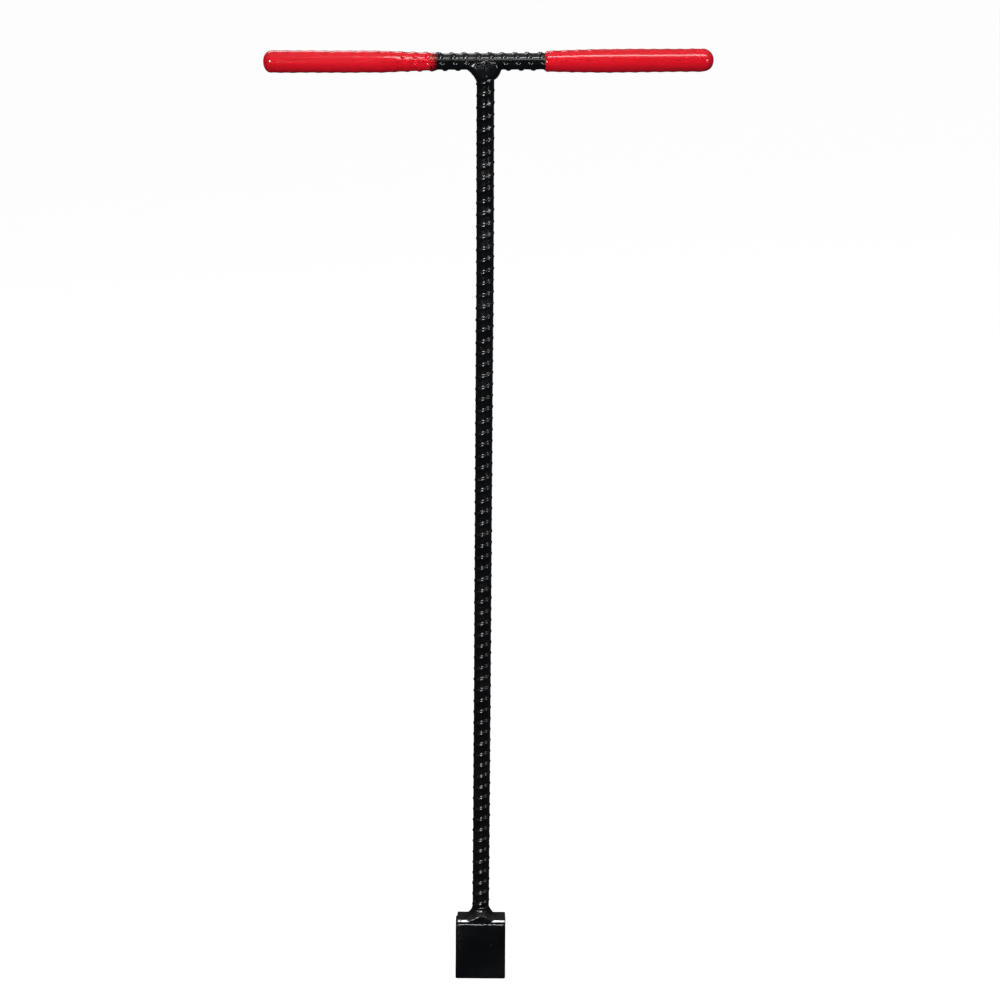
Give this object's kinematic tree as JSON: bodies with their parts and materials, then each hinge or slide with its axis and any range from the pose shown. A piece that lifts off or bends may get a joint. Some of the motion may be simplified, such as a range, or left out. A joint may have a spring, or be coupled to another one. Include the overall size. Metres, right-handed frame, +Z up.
{
  "type": "post driver",
  "caption": "T-handle post driver: ribbed-bar shaft and crossbar with dipped red grips, and a short rectangular socket that slips over a post or stake.",
  "frame": {"origin": "centre of the socket's mouth, on the shaft's axis: the middle of the plane of the tube's bottom rim", "axes": "+Z up along the shaft towards the T handle; X along the crossbar and the socket's wide side, +X to the right; -Y is the front"},
  "size_m": [0.4284, 0.0254, 0.9514],
  "materials": {
    "black_paint": "gloss",
    "painted_weld": "gloss",
    "red_vinyl": "gloss"
  },
  "bodies": {
    "root": {"socket_tube": "black_paint", "cap_plate": "black_paint", "cap_seam_weld": "painted_weld", "shaft_bar": "black_paint", "shaft_base_weld": "painted_weld", "cross_bar": "black_paint", "left_handle_weld": "painted_weld", "right_handle_weld": "painted_weld", "left_grip": "red_vinyl", "right_grip": "red_vinyl"}
  },
  "joints": []
}
